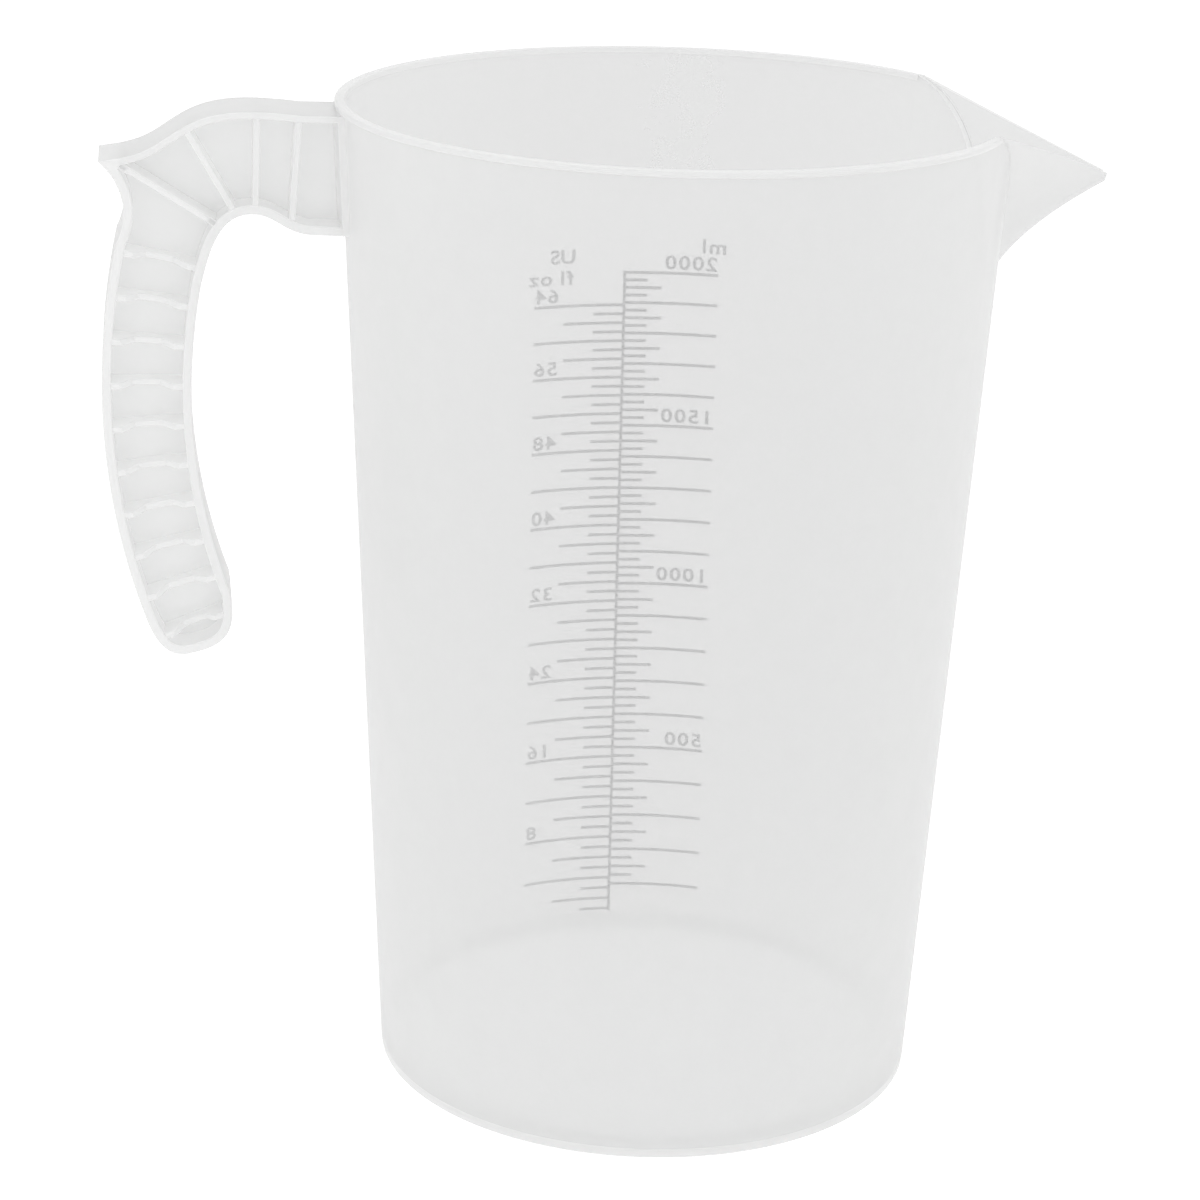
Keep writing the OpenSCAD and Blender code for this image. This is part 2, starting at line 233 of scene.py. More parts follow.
# How much light passes the clear part of a face
CLEAR = 0.97
PLASTIC_IOR = 1.49
INK_IOR = 1.45
# Sizes of the noise: broad clouds, fine grain, the skin's unevenness, and patchy ink
CLOUD_SCALE = 90
GRAIN_SCALE = 1500
SKIN_SCALE = 700
PATCH_SCALE = 900


def plastic(name, shade, opacity, edge_opacity, through, roughness):
    """Milky plastic. shade is how white it is, opacity how much of a face isn't clear when it is
    met square on, edge_opacity the same at a glancing angle, and through how much of its own
    light comes from the far side."""
    material, tree = node_tree(name)
    links = tree.links
    cloud = noise(tree, CLOUD_SCALE, 3)
    grain = noise(tree, GRAIN_SCALE, 2)
    skin = noise(tree, SKIN_SCALE, 3)
    tint = blend(tree, grain.outputs["Fac"], (shade * 0.985, shade * 0.988, shade * 0.985),
                 (shade * 1.012, shade * 1.012, shade * 1.012))

    bump = add(tree, "ShaderNodeBump", Strength=0.07, Distance=0.0001)
    links.new(skin.outputs["Fac"], bump.inputs["Height"])

    front = add(tree, "ShaderNodeBsdfPrincipled", IOR=PLASTIC_IOR)
    links.new(tint, front.inputs["Base Color"])
    links.new(ranged(tree, skin.outputs["Fac"], roughness - 0.05, roughness + 0.05),
              front.inputs["Roughness"])
    links.new(bump.outputs["Normal"], front.inputs["Normal"])
    back = add(tree, "ShaderNodeBsdfTranslucent")
    links.new(tint, back.inputs["Color"])
    milk = add(tree, "ShaderNodeMixShader", Fac=through)
    links.new(front.outputs[0], milk.inputs[1])
    links.new(back.outputs[0], milk.inputs[2])

    facing = add(tree, "ShaderNodeLayerWeight", Blend=0.35)
    depth = tree.nodes.new("ShaderNodeMapRange")
    depth.inputs["To Min"].default_value = opacity
    depth.inputs["To Max"].default_value = edge_opacity
    links.new(facing.outputs["Facing"], depth.inputs["Value"])
    mottle = tree.nodes.new("ShaderNodeMath")
    mottle.operation = "MULTIPLY"
    links.new(depth.outputs["Result"], mottle.inputs[0])
    links.new(ranged(tree, cloud.outputs["Fac"], 0.985, 1.015), mottle.inputs[1])

    clear = add(tree, "ShaderNodeBsdfTransparent", Color=(CLEAR, CLEAR, CLEAR, 1))
    whole = tree.nodes.new("ShaderNodeMixShader")
    links.new(mottle.outputs[0], whole.inputs[0])
    links.new(clear.outputs[0], whole.inputs[1])
    links.new(milk.outputs[0], whole.inputs[2])
    out = tree.nodes.new("ShaderNodeOutputMaterial")
    links.new(whole.outputs[0], out.inputs["Surface"])
    return material


def ink_material():
    """Grey screen-printing ink, a little uneven."""
    material, tree = node_tree("scale_ink")
    links = tree.links
    patchy = noise(tree, PATCH_SCALE, 3)
    tint = blend(tree, ranged(tree, patchy.outputs["Fac"], 0, 1), (0.04, 0.04, 0.045),
                 (0.12, 0.12, 0.125))
    shader = add(tree, "ShaderNodeBsdfPrincipled", IOR=INK_IOR)
    links.new(tint, shader.inputs["Base Color"])
    links.new(ranged(tree, patchy.outputs["Fac"], 0.5, 0.7), shader.inputs["Roughness"])
    out = tree.nodes.new("ShaderNodeOutputMaterial")
    links.new(shader.outputs[0], out.inputs["Surface"])
    return material


# Nearly clear, for faces where two pieces touch, because the real jug is one moulding
SEAM = plastic("polypropylene_inside", shade=0.95, opacity=0.03, edge_opacity=0.08,
               through=0.5, roughness=0.38)
WALLS = [
    plastic("polypropylene_wall", shade=0.86, opacity=0.27, edge_opacity=0.72,
            through=0.45, roughness=0.34),
    plastic("polypropylene_rim", shade=0.88, opacity=0.50, edge_opacity=0.85,
            through=0.25, roughness=0.20),
    SEAM,
]
# The rib plastic is whiter than the wall's. Partly this is real, as thicker plastic is milkier.
# Partly it is painted light that lifts the shade falling in the gaps between the ribs.
RIBBED = [
    plastic("polypropylene_rib", shade=0.985, opacity=0.34, edge_opacity=0.62,
            through=0.6, roughness=0.34),
    plastic("polypropylene_rib_edge", shade=0.92, opacity=0.60, edge_opacity=0.90,
            through=0.25, roughness=0.20),
    SEAM,
]
# The web plastic is whiter than the wall's, partly for its thicker, milkier plastic and partly as
# painted light against the shade in the handle's recess.
WEB = [plastic("polypropylene_web", shade=0.95, opacity=0.34, edge_opacity=0.74,
               through=0.5, roughness=0.34)]
# The flange's open faces keep the darker wall plastic, so the painted light of the whiter web and
# ribs stays in the recesses.
FLANGED = [WALLS[0], RIBBED[1], SEAM]
FLOOR = [plastic("polypropylene_floor", shade=0.94, opacity=0.12, edge_opacity=0.50,
                 through=0.5, roughness=0.38)]
FOOT = [plastic("polypropylene_foot", shade=0.94, opacity=0.30, edge_opacity=0.70,
                through=0.5, roughness=0.38)]
INK = [ink_material()]

# Places in a piece's list of materials
PLAIN_FACE = 0
THICK_FACE = 1
SEAM_FACE = 2

# ---- Spout: u runs across it from lip to lip, and s along it from the wall to the tip ----

SPOUT_HALF = 31.0
SPOUT_X = SPOUT_HIGH.x
SPOUT_SUNK = 0.3
SPOUT_TIP_W = 1.8
SPOUT_TIP_Z = 202.3
SPOUT_TIP_T = 0.8
SPOUT_EDGE = [(0.0, 177.5), (7.0, 196.0), (10.0, 207.0), (SPOUT_HALF, JUG_H)]
SPOUT_U = 64
SPOUT_S = 36


def bezier3(points, t):
    share = [(1 - t) ** 3, 3 * (1 - t) ** 2 * t, 3 * (1 - t) * t * t, t ** 3]
    return [sum(w * p[k] for w, p in zip(share, points)) for k in range(len(points[0]))]


def keel_round(u):
    return (math.sqrt(u * u + 0.01) - 0.1) / (math.sqrt(1.01) - 0.1)


def skin(s, u):
    k = keel_round(u)
    degrees = math.copysign(bezier3(SPOUT_EDGE, abs(u))[0], u)
    z = bezier3(SPOUT_EDGE, k)[1]
    root = on_cone(r_out(z) + 0.5 * LIP_OUT * abs(u) ** 8, degrees, z)
    bow = Vector((73.5 + 3.6 * k, 14.2 * u, 189 + 20.8 * k))
    tip = Vector((SPOUT_X, SPOUT_TIP_W * u, SPOUT_TIP_Z - 2.1 * (1 - k)))
    return root * (1 - s) ** 2 + bow * 2 * (1 - s) * s + tip * s * s


def lining(s, u):
    d = 0.01
    along = skin(s + d, u) - skin(s - d, u)
    across = skin(s, u + d) - skin(s, u - d)
    normal = along.cross(across).normalized()
    normal.z *= 1 - abs(u) ** 6
    return skin(s, u) + (WALL_T + (SPOUT_TIP_T - WALL_T) * s) * normal.normalized()


def spout_ring(s):
    """One closed section of the spout: its skin from lip to lip, and its lining back again."""
    us = spread(-1.0, 1.0, SPOUT_U)
    outer = [skin(s, u) for u in us]
    inner = [lining(s, u) for u in us]
    if s == 0:
        outer = [onto_wall(p) for p in outer]
        inner = [onto_wall(p) for p in inner]
    return outer + inner[::-1]


def onto_wall(p):
    """p slid along X until it is SPOUT_SUNK inside the wall's outer face."""
    return Vector((math.sqrt((r_out(p.z) - SPOUT_SUNK) ** 2 - p.y * p.y), p.y, p.z))


def make_spout():
    middle_half = 1.5
    lip_low = 200
    flat = 0.93

    def paint(centre, normal):
        if centre.xy.length < r_out(centre.z) - 0.2 and normal.dot(outwards(centre)) < -0.5:
            return SEAM_FACE
        on_lip = normal.z > flat and abs(centre.y) > middle_half and centre.z > lip_low
        return THICK_FACE if on_lip else PLAIN_FACE

    mesh = bmesh.new()
    made = add_rings(mesh, [spout_ring(s) for s in spread(0.0, 1.0, SPOUT_S)])
    for ring in (made[0], made[-1]):
        for i in range(SPOUT_U):
            mesh.faces.new((ring[i], ring[i + 1], ring[-2 - i], ring[-1 - i]))
    finish_mesh(mesh, "spout", WALLS, ["spout"], paint)


# ---- Body ----


def seat(z):
    """How much wider the inside is at this height, because of the seat under the rim."""
    share = (z - SEAT_END) / (SEAT_Z - SEAT_END)
    return SEAT_IN * min(max(share, 0.0), 1.0)


def wall_columns():
    """(outer degrees, inner degrees, top) of each upright strip of the wall."""
    columns = []
    for u in spread(-1.0, 1.0, SPOUT_U):
        p = lining(0, u)
        top = min(p.z, JUG_H)
        columns.append((math.degrees(math.asin(p.y / r_out(top))),
                        math.degrees(math.asin(p.y / r_in(top))), top))
    steps = round((360 - 2 * SPOUT_HALF) / COLUMN_DEG)
    columns += [(a, a, RIM_Z) for a in spread(SPOUT_HALF, 360 - SPOUT_HALF, steps)]
    return columns


def make_wall():
    base = arc((r_out(0) - FOOT_CORNER, FOOT_CORNER), FOOT_CORNER, -90, 0, 5)
    # Rows are close together at the foot and beside the spout
    heights = [1.0, FOOT_BAND] + spread(6.0, 174.0, 14) + spread(177.0, SEAT_END, 22)
    heights += [SEAT_Z, RIM_Z, JUG_H]
    rings = []
    for outer, inner, top in wall_columns():
        clipped = [min(z, top) for z in heights]
        ring = [on_cone(r, outer, z) for r, z in base]
        ring += [on_cone(r_out(z), outer, z) for z in clipped]
        ring += [on_cone(r_in(z) + seat(z), inner, z) for z in reversed(clipped)]
        ring += [on_cone(r_in(0), inner, 0)]
        rings.append(ring)

    def paint(centre, normal):
        if abs(centre.z - RIM_Z) < SKIN_GAP:
            return SEAM_FACE
        notch = centre.z > FOOT_H + FLOOR_FILLET and abs(normal.dot(outwards(centre))) < 0.6
        foot = centre.z < FOOT_BAND and centre.xy.length > r_out(0) - 0.2
        return THICK_FACE if notch or foot else PLAIN_FACE

    make_loop("jug_wall", rings, WALLS, ["jug_wall"], paint)


def lathe(name, profile, materials, replaced):
    """A piece turned about the jug's axis from its section, [radius, height]."""
    angles = spread(0, 360 - COLUMN_DEG, round(360 / COLUMN_DEG) - 1)
    rings = [[on_cone(r, a, z) for r, z in profile] for a in angles]
    make_loop(name, rings, materials, replaced)


def make_floor():
    corner_z = FLOOR_TOP + FLOOR_FILLET
    fillet = arc((r_in(corner_z) - FLOOR_FILLET - SKIN_GAP, corner_z), FLOOR_FILLET, 0, -90, 10)
    profile = [(0, FOOT_H), (r_in(FOOT_H) - SKIN_GAP, FOOT_H)] + fillet + [(0, FLOOR_TOP)]
    lathe("jug_floor", profile, FLOOR, ["jug_floor", "floor_fillet"])
    inside = r_in(0) - FOOT_W
    ring = [(inside, 0), (r_in(0) - SKIN_GAP, 0), (r_in(0) - SKIN_GAP, FOOT_H - SKIN_GAP),
            (inside - FOOT_H, FOOT_H - SKIN_GAP)]
    lathe("foot_ring", ring, FOOT, ["foot_ring"])


def rim_profile(overhang):
    """The rim's section, [radius, height], with its lip standing overhang outside the wall."""
    outer_r = 0.6
    inner_r = 0.3
    outer = r_out(JUG_H) + overhang
    inner = r_in(JUG_H) + SEAT_IN
    low = RIM_Z + SKIN_GAP
    profile = [(inner, low), (r_out(RIM_Z), low)]
    profile += arc((outer - inner_r, low + inner_r), inner_r, -90, 0, 4)
    profile += arc((outer - outer_r, JUG_H - outer_r), outer_r, 0, 90, 8)
    profile += arc((inner + inner_r, JUG_H - inner_r), inner_r, 90, 180, 5)
    return profile


def make_rim():
    """The lip round the rim, which narrows at both ends and runs a little into the spout."""
    lip = lining(0, 1)
    start = math.degrees(math.atan2(lip.y, lip.x))
    rings = []
    for degrees in spread(start, 360 - start, round((360 - 2 * start) / COLUMN_DEG)):
        share = min(max((min(degrees, 360 - degrees) - SPOUT_HALF) / RIM_FADE, 0.0), 1.0)
        overhang = LIP_OUT * (RIM_END + (1 - RIM_END) * share * share * (3 - 2 * share))
        rings.append([on_cone(r, degrees, z) for r, z in rim_profile(overhang)])

    def paint(centre, normal):
        end = abs(normal.z) < 0.3 and abs(normal.dot(outwards(centre))) < 0.3
        on_wall = normal.z < -0.9 and centre.xy.length < r_out(RIM_Z)
        return SEAM_FACE if end or on_wall else THICK_FACE

    make_rod("rim_lip", rings, WALLS, ["rim_lip"], paint)


# ---- Handle, drawn in the XZ plane ----

HANDLE_W = FLANGE_HIGH.y - FLANGE_LOW.y
WEB_T = WEB_HIGH.y - WEB_LOW.y
FLANGE_T = 1.9
TOP_FLANGE_T = 1.4
RIB_T = 1.3
RIB_DISH = 4.0
ROOT_T = 1.5
GRIP_C = Vector((28.0, 156.0))
GRIP_INNER_R = 130.0
GRIP_OUTER_R = 148.7
GRIP_RIBS = 10
FIRST_RIB_DEG = 11.8
RIBS_SPAN_DEG = 33.5
END_ANGLE = 19.5
ARM_TOP_Z = ROOT_HIGH.z
ARM_LOW_Z = ROOT_LOW.z
BEAK = (-120.6, 205.2)
CURVE_STEPS = 16
EDGE_R = 0.35
# Each rib's two ends, as [x, z], and its dish
ARM_RIBS = [((-104, 214), (-92.5, 194), 0), ((-88.2, 216), (-88.6, 193), 0),
            ((-79.5, 216), (-81.3, 189), 0)]
BEAK_RIBS = [((-119.5, 206.2), (-104.3, 196.9), 2.5), ((-103, 196.1), (-95, 191), 0)]


def grip_point(radius, degrees):
    a = math.radians(degrees)
    return GRIP_C + radius * Vector((-math.cos(a), math.sin(a)))


def curve(points):
    return [Vector(bezier3(points, i / CURVE_STEPS)) for i in range(1, CURVE_STEPS + 1)]


def grip_arc(radius, start, end):
    return [grip_point(radius, a) for a in spread(start, end, 2 * CURVE_STEPS)[1:]]


def handle_outline():
    """The outside of the flange, from the wall over the arm and round the grip to the wall."""
    top = [Vector((-70.0, ARM_TOP_Z)), Vector((-79.0, ARM_TOP_Z + 0.1))]
    top += curve([(-79, ARM_TOP_Z + 0.1), (-97, 217), (-101, 214), (-107.5, 209.6)])
    top += curve([(-107.5, 209.6), (-111.5, 206.8), (-114.5, 206), BEAK])
    palm = curve([BEAK, (-116, 201), (-114, 194.5), tuple(grip_point(GRIP_OUTER_R, 12.5))])
    palm += grip_arc(GRIP_OUTER_R, 12.5, -END_ANGLE)
    inner_end = tuple(grip_point(GRIP_INNER_R, -END_ANGLE - 0.5))
    end = curve([tuple(grip_point(GRIP_OUTER_R, -END_ANGLE)), (-110.2, 100.8), (-107.8, 97.4),
                 (-103.5, 98)])
    end += curve([(-103.5, 98), (-96.5, 99.4), (-92.4, 101.5), inner_end])
    finger = grip_arc(GRIP_INNER_R, -END_ANGLE - 0.5, 10.5)
    finger += curve([tuple(grip_point(GRIP_INNER_R, 10.5)), (-98.6, 184), (-97, 194.2),
                     (-89.5, 194.3)])
    finger += curve([(-89.5, 194.3), (-84, 194.3), (-83, ARM_LOW_Z + 0.3), (-76, ARM_LOW_Z + 0.2)])
    finger += [Vector((-68.0, ARM_LOW_Z))]
    return top + palm + end + finger, len(top)


OUTLINE, TOP_COUNT = handle_outline()
BEAK_INDEX = TOP_COUNT - 1
BEAK_SPAN = 3.2


def inner_point(i):
    """The outline's point i moved inwards by the flange's thickness."""
    first = OUTLINE[max(i - 1, 0)]
    last = OUTLINE[min(i + 1, len(OUTLINE) - 1)]
    here = OUTLINE[i]
    before = (here - first) if i > 0 else (last - here)
    after = (last - here) if i < len(OUTLINE) - 1 else before
    n0 = Vector((-before.y, before.x)).normalized()
    n1 = Vector((-after.y, after.x)).normalized()
    middle = n0 + n1
    thick = TOP_FLANGE_T if i < BEAK_INDEX else FLANGE_T
    return here + middle * (thick * 2 / middle.dot(middle))


def clear_of_beak(i):
    """False for the points beside the beak's tip, where it is too narrow to be hollow."""
    return i == BEAK_INDEX or (OUTLINE[i] - OUTLINE[BEAK_INDEX]).length > BEAK_SPAN


def to_root(x, y, z, thickness):
    """A point slid along X, if it is inside the jug, until it is thickness outside the wall."""
    return Vector((min(x, -math.sqrt((r_out(z) + thickness) ** 2 - y * y)), y, z))


def flange_section(outer, inner):
    """A closed ring of points round the flange, with rounded edges."""
    half = HANDLE_W / 2
    share = min(EDGE_R / (inner - outer).length, 0.4)
    ring = []
    for side, depth in ((-1, 0), (1, 0), (1, 1), (-1, 1)):
        for i in range(5):
            a = math.radians(90 * i / 4)
            if (side < 0) == (depth == 0):
                a = math.radians(90) - a
            along = EDGE_R * (1 - math.sin(a))
            deep = share * (1 - math.cos(a))
            t = deep if depth == 0 else 1 - deep
            p = outer.lerp(inner, t)
            ring.append(to_root(p.x, side * (half - along), p.y, ROOT_T - 0.1))
    return ring


def make_flange():
    stations = [i for i in range(len(OUTLINE)) if clear_of_beak(i)]
    rings = [flange_section(OUTLINE[i], inner_point(i)) for i in stations]

    def paint(centre, normal):
        return THICK_FACE if abs(centre.y) > HANDLE_W / 2 - EDGE_R else PLAIN_FACE

    nodes = ["top_flange", "palm_flange", "end_flange", "finger_flange"]
    make_rod("handle_flange", rings, FLANGED, nodes, paint)


def inside_outline():
    points = [inner_point(i) for i in range(len(OUTLINE)) if clear_of_beak(i)]
    return [Vector((min(p.x, -r_out(p.y) - ROOT_T + 0.1), p.y)) for p in points]


def make_web():
    half = WEB_T / 2
    rings = [[Vector((p.x, y, p.y)) for p in inside_outline()] for y in (-half, half)]
    make_rod("handle_web", rings, WEB, ["handle_web"])


def crossings(a, b, outline):
    """Shares of the way from a to b at which that line meets the outline."""
    d = b - a
    found = []
    for p, q in zip(outline, outline[1:]):
        e = q - p
        area = d.x * e.y - d.y * e.x
        if abs(area) < 1e-9:
            continue
        t = ((p - a).x * e.y - (p - a).y * e.x) / area
        w = ((p - a).x * d.y - (p - a).y * d.x) / area
        if 0 <= w <= 1:
            found.append(t)
    return found


def within(a, b):
    """The stretch of the line from a to b that is inside the flange, about its middle."""
    found = crossings(a, b, inside_outline())
    low = max([t for t in found if t < 0.5], default=0.0)
    high = min([t for t in found if t >= 0.5], default=1.0)
    return a.lerp(b, low), a.lerp(b, high)


def add_rib(mesh, a, b, dish):
    """One rib on each side of the web, with its free edge lowered by dish in the middle."""
    a, b = within(Vector(a), Vector(b))
    d = (b - a).normalized()
    side = Vector((-d.y, d.x)) * RIB_T / 2
    length = (b - a).length
    low = WEB_T / 2 - 0.1
    high = HANDLE_W / 2 - 0.2
    run = min(5.0, length * 0.35)
    for sign in (-1, 1):
        rows = []
        for t in spread(0.0, length, 16):
            ramp = min(max((min(t, length - t) - run * 0.35) / (run * 0.65), 0.0), 1.0)
            free = high - dish * ramp * ramp * (3 - 2 * ramp)
            centre = a + d * t
            rows.append([
                Vector((centre.x + side.x * e, sign * y, centre.y + side.y * e))
                for e, y in ((-1, low), (-1, free - 0.2), (-0.7, free), (0.7, free),
                             (1, free - 0.2), (1, low))
            ])
        add_rod(mesh, rows)


def make_ribs(name, lines):
    mesh = bmesh.new()
    for a, b, dish in lines:
        add_rib(mesh, a, b, dish)

    def paint(centre, normal):
        return THICK_FACE if abs(normal.y) > 0.3 and abs(centre.y) > WEB_T else PLAIN_FACE

    finish_mesh(mesh, name, RIBBED, [name], paint)


def grip_rib_lines():
    angles = [FIRST_RIB_DEG - RIBS_SPAN_DEG * i / (GRIP_RIBS - 1) for i in range(GRIP_RIBS)]
    return [(grip_point(GRIP_OUTER_R - FLANGE_T, a), grip_point(GRIP_INNER_R + FLANGE_T, a),
             RIB_DISH) for a in angles]


def make_root():
    """The pad between the handle and the wall."""
    half = HANDLE_W / 2
    rings = []
    for z in spread(ARM_LOW_Z, ARM_TOP_Z, 8):
        ys = spread(-half, half, 10)
        near = [Vector((-math.sqrt((r_out(z) + SKIN_GAP) ** 2 - y * y), y, z)) for y in ys]
        far = [Vector((-math.sqrt((r_out(z) + ROOT_T) ** 2 - y * y), y, z)) for y in ys]
        rings.append(near + far[::-1])

    def paint(centre, normal):
        if normal.dot(outwards(centre)) < -0.8:
            return SEAM_FACE
        return THICK_FACE if abs(normal.y) > 0.8 else PLAIN_FACE

    make_rod("handle_root", rings, FLANGED, ["handle_root"], paint)


# ---- Printed scale, on the +Y side ----

ML_PER_OZ = 29.5735
FULL_ML = 2000
LOW_ML = 100
ML_STEP = 25
FULL_OZ = 64
LINE_W = 0.7
SPINE_W = 0.7
INK_LOW = 0.02
INK_HIGH = 0.1
LONG_MARK = 22.0
MID_ML_MARK = 8.8
SHORT_ML_MARK = 5.4
MID_OZ_MARK = 14.5
SHORT_OZ_MARK = 7.3
DIGIT_H = 3.2
DIGIT_PITCH = 3.2
DIGIT_STRETCH = 1.22
DIGIT_BOLD = 0.09
# A numeral's height as a share of the font's size
CAPITAL = 0.70
# Where the unit signs start, across the wall and, in numerals' heights, above the top lines
LABEL_X = 12.1
LABEL_ROW = 1.3
LABEL_TOP_ROW = 2.85
ML_LABEL_OUT = 1.3
FL_PITCH = 0.6
OZ_START = 1.65
NUMERAL_GAP = 1.0
INK_STEP = 0.5


def liquid_z(ml):
    """The height that this volume reaches in the jug."""
    r0 = r_in(FLOOR_TOP)
    return FLOOR_TOP + ((r0 ** 3 + 3 * TAPER * ml * 1000 / math.pi) ** (1 / 3) - r0) / TAPER


def on_scale(across, z, lift):
    """A point on the wall. across is measured from the scale's middle, towards the handle."""
    return on_cone(r_out(z) + lift, 90 + math.degrees(across / r_out(z)), z)


def add_patch(mesh, z0, z1, start, end):
    """A patch of ink from z0 to z1, between two distances from the scale's middle."""
    steps = max(1, math.ceil(abs(end - start) / INK_STEP))
    section = ((z0, INK_LOW), (z0, INK_HIGH), (z1, INK_HIGH), (z1, INK_LOW))
    add_rod(mesh, [[on_scale(across, z, lift) for z, lift in section]
                   for across in spread(start, end, steps)])


def ink_piece(name, mesh):
    finish_mesh(mesh, name, INK, [name])


def make_marks():
    half = LINE_W / 2
    spine = bmesh.new()
    heights = spread(SPINE_LOW.z, SPINE_HIGH.z, 40)
    for low, high in zip(heights, heights[1:]):
        add_patch(spine, low, high, -SPINE_W / 2, SPINE_W / 2)
    ink_piece("scale_spine", spine)
    marks = bmesh.new()
    for ml in range(LOW_ML, FULL_ML + 1, ML_STEP):
        reach = LONG_MARK if ml % 100 == 0 else MID_ML_MARK if ml % 50 == 0 else SHORT_ML_MARK
        z = liquid_z(ml)
        add_patch(marks, z - half, z + half, -reach, -SPINE_W / 2)
    ink_piece("ml_marks", marks)
    marks = bmesh.new()
    for oz in range(1, FULL_OZ + 1):
        reach = LONG_MARK if oz % 4 == 0 else MID_OZ_MARK if oz % 2 == 0 else SHORT_OZ_MARK
        z = liquid_z(oz * ML_PER_OZ)
        add_patch(marks, z - half, z + half, SPINE_W / 2, reach)
    ink_piece("fl_oz_marks", marks)


def add_word(mesh, word, start, z, pitch=DIGIT_PITCH):
    """Prints a word on the wall, one sign to each pitch, with its foot at z."""
    for i, sign in enumerate(word):
        text = bpy.data.curves.new("sign", "FONT")
        text.body = sign
        text.align_x = "CENTER"
        text.size = DIGIT_H / CAPITAL
        text.offset = DIGIT_BOLD
        text.resolution_u = 3
        holder = bpy.data.objects.new("sign", text)
        bpy.context.scene.collection.objects.link(holder)
        bpy.context.view_layer.update()
        flat = bpy.data.meshes.new_from_object(holder)
        bpy.data.objects.remove(holder)
        outline = bmesh.new()
        outline.from_mesh(flat)
        bmesh.ops.remove_doubles(outline, verts=outline.verts, dist=0.01)
        middle = start + (i + 0.5) * pitch
        levels = {}
        for lift in (INK_LOW, INK_HIGH):
            levels[lift] = [
                mesh.verts.new(on_scale(middle + DIGIT_STRETCH * v.co.x, z + v.co.y, lift) * MM)
                for v in outline.verts
            ]
        outline.verts.index_update()
        for face in outline.faces:
            indices = [v.index for v in face.verts]
            mesh.faces.new([levels[INK_HIGH][k] for k in indices])
            mesh.faces.new([levels[INK_LOW][k] for k in reversed(indices)])
        for edge in outline.edges:
            if edge.is_boundary:
                a, b = (v.index for v in edge.verts)
                mesh.faces.new((levels[INK_LOW][a], levels[INK_LOW][b],
                                levels[INK_HIGH][b], levels[INK_HIGH][a]))
        outline.free()
        bpy.data.meshes.remove(flat)


def make_lettering():
    numerals = bmesh.new()
    for ml in range(500, FULL_ML + 1, 500):
        add_word(numerals, str(ml), -LONG_MARK, liquid_z(ml) + NUMERAL_GAP)
    ink_piece("ml_numerals", numerals)
    numerals = bmesh.new()
    for oz in range(8, FULL_OZ + 1, 8):
        start = LONG_MARK - len(str(oz)) * DIGIT_PITCH
        add_word(numerals, str(oz), start, liquid_z(oz * ML_PER_OZ) + NUMERAL_GAP)
    ink_piece("fl_oz_numerals", numerals)
    labels = bmesh.new()
    top_ml = liquid_z(FULL_ML) + NUMERAL_GAP
    top_oz = liquid_z(FULL_OZ * ML_PER_OZ) + NUMERAL_GAP
    add_word(labels, "ml", -LONG_MARK - ML_LABEL_OUT, top_ml + LABEL_ROW * DIGIT_H)
    add_word(labels, "US", LABEL_X, top_oz + LABEL_TOP_ROW * DIGIT_H)
    add_word(labels, "fl", LABEL_X, top_oz + LABEL_ROW * DIGIT_H, FL_PITCH * DIGIT_PITCH)
    add_word(labels, "oz", LABEL_X + OZ_START * DIGIT_PITCH, top_oz + LABEL_ROW * DIGIT_H)
    ink_piece("unit_labels", labels)


# ---- Stage: white to look at, and light grey through the clear plastic ----

FILL_LIGHT = 0.97
WHITE = 1.12
BEHIND = 0.79
FLOOR_PALE = 0.25
FLOOR_GLOW = 0.85
FLOOR_SIZE_M = 6.0
FLOOR_DROP_M = 0.0002


def seen_or_lit(tree, shader, seen, behind, lit):
    """Links the shader's strength: seen where it is looked at, behind where it is looked at
    through clear plastic, and lit for the light that it gives."""
    path = tree.nodes.new("ShaderNodeLightPath")
    veil = add(tree, "ShaderNodeMapRange", To_Min=seen, To_Max=behind)
    tree.links.new(path.outputs["Transparent Depth"], veil.inputs["Value"])
    span = add(tree, "ShaderNodeMapRange", To_Min=lit)
    tree.links.new(path.outputs["Is Camera Ray"], span.inputs["Value"])
    tree.links.new(veil.outputs["Result"], span.inputs["To Max"])
    tree.links.new(span.outputs["Result"], shader.inputs["Strength"])


def make_stage():
    """A pale floor that glows a little, so that it stays pale under the jug."""
    data = bpy.data.meshes.new("floor")
    mesh = bmesh.new()
    bmesh.ops.create_grid(mesh, x_segments=8, y_segments=8, size=FLOOR_SIZE_M)
    mesh.to_mesh(data)
    mesh.free()
    floor = bpy.data.objects.new("floor", data)
    floor.location.z = -FLOOR_DROP_M
    bpy.context.scene.collection.objects.link(floor)
    material, tree = node_tree("pale_floor")
    pale = add(tree, "ShaderNodeBsdfDiffuse", Color=(FLOOR_PALE, FLOOR_PALE, FLOOR_PALE, 1))
    glow = add(tree, "ShaderNodeEmission", Color=(1, 1, 1, 1))
    reflected = FLOOR_PALE * FILL_LIGHT
    seen_or_lit(tree, glow, WHITE - reflected, BEHIND - reflected, FLOOR_GLOW)
    both = tree.nodes.new("ShaderNodeAddShader")
    out = tree.nodes.new("ShaderNodeOutputMaterial")
    tree.links.new(pale.outputs[0], both.inputs[0])
    tree.links.new(glow.outputs[0], both.inputs[1])
    tree.links.new(both.outputs[0], out.inputs["Surface"])
    data.materials.append(material)


def softbox(name, place, size, strength):
    """A square lamp at place, in metres, that faces the jug's middle."""
    lamp = bpy.data.lights.new(name, "AREA")
    lamp.shape = "SQUARE"
    lamp.size = size
    lamp.energy = strength
    holder = bpy.data.objects.new(name, lamp)
    holder.location = place
    aim = Vector((0, 0, JUG_H * MM / 2)) - Vector(place)
    holder.rotation_euler = aim.to_track_quat("-Z", "Y").to_euler()
    bpy.context.scene.collection.objects.link(holder)


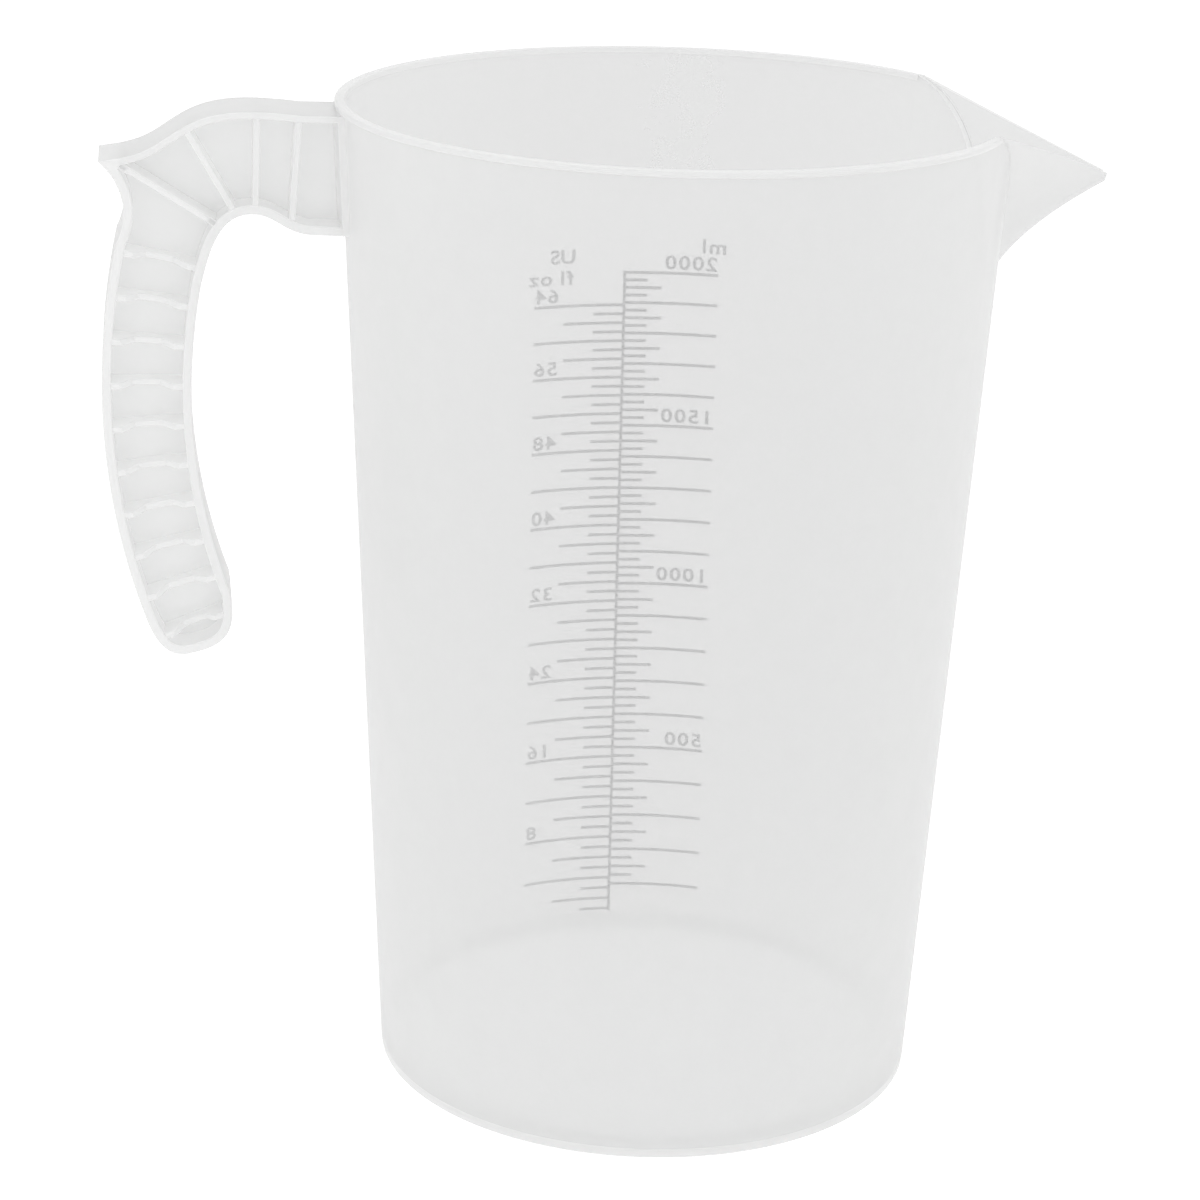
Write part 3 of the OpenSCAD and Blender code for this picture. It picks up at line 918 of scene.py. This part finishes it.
def make_light():
    scene = bpy.context.scene
    world = bpy.data.worlds.new("studio")
    scene.world = world
    world.use_nodes = True
    tree = world.node_tree
    tree.nodes.clear()
    sky = add(tree, "ShaderNodeBackground", Color=(1, 1, 1, 1))
    seen_or_lit(tree, sky, WHITE, BEHIND, FILL_LIGHT)
    out = tree.nodes.new("ShaderNodeOutputWorld")
    tree.links.new(sky.outputs[0], out.inputs["Surface"])
    softbox("top_light", (0.10, 0.0, 1.35), size=0.25, strength=0.8)
    softbox("front_light", (-0.5, -1.1, 0.75), size=0.35, strength=1.1)
    softbox("right_light", (1.1, 0.2, 0.7), size=0.30, strength=0.8)
    scene.view_settings.view_transform = "Standard"
    scene.cycles.transparent_max_bounces = 48
    scene.cycles.max_bounces = 10
    scene.cycles.diffuse_bounces = 8
    scene.cycles.transmission_bounces = 8


CAMERA_AIM = Vector((-12.7, 1.8, 105.5))
CAMERA_DISTANCE = 740.0
CAMERA_AZIMUTH = 7.95
CAMERA_ELEVATION = 18.80
CAMERA_ROLL = 1.83
CAMERA_LENS = 100.4


def make_camera():
    """The camera looks along +Y, turned a little towards the spout."""
    data = bpy.data.cameras.new("camera")
    data.sensor_width = 36
    data.lens = CAMERA_LENS
    camera = bpy.data.objects.new("camera", data)
    azimuth = math.radians(CAMERA_AZIMUTH)
    pitch = math.radians(CAMERA_ELEVATION)
    ahead = Vector((math.sin(azimuth) * math.cos(pitch), math.cos(azimuth) * math.cos(pitch),
                    -math.sin(pitch)))
    turn = ahead.to_track_quat("-Z", "Y").to_matrix().to_4x4()
    roll = Matrix.Rotation(math.radians(CAMERA_ROLL), 4, "Z")
    place = (CAMERA_AIM - ahead * CAMERA_DISTANCE) * MM
    camera.matrix_world = Matrix.Translation(place) @ turn @ roll
    bpy.context.scene.collection.objects.link(camera)
    bpy.context.scene.camera = camera


make_wall()
make_floor()
make_rim()
make_spout()
make_flange()
make_web()
make_root()
make_ribs("arm_ribs", ARM_RIBS)
make_ribs("beak_ribs", BEAK_RIBS)
make_ribs("grip_rib_set", grip_rib_lines())
make_marks()
make_lettering()
make_stage()
make_light()
make_camera()
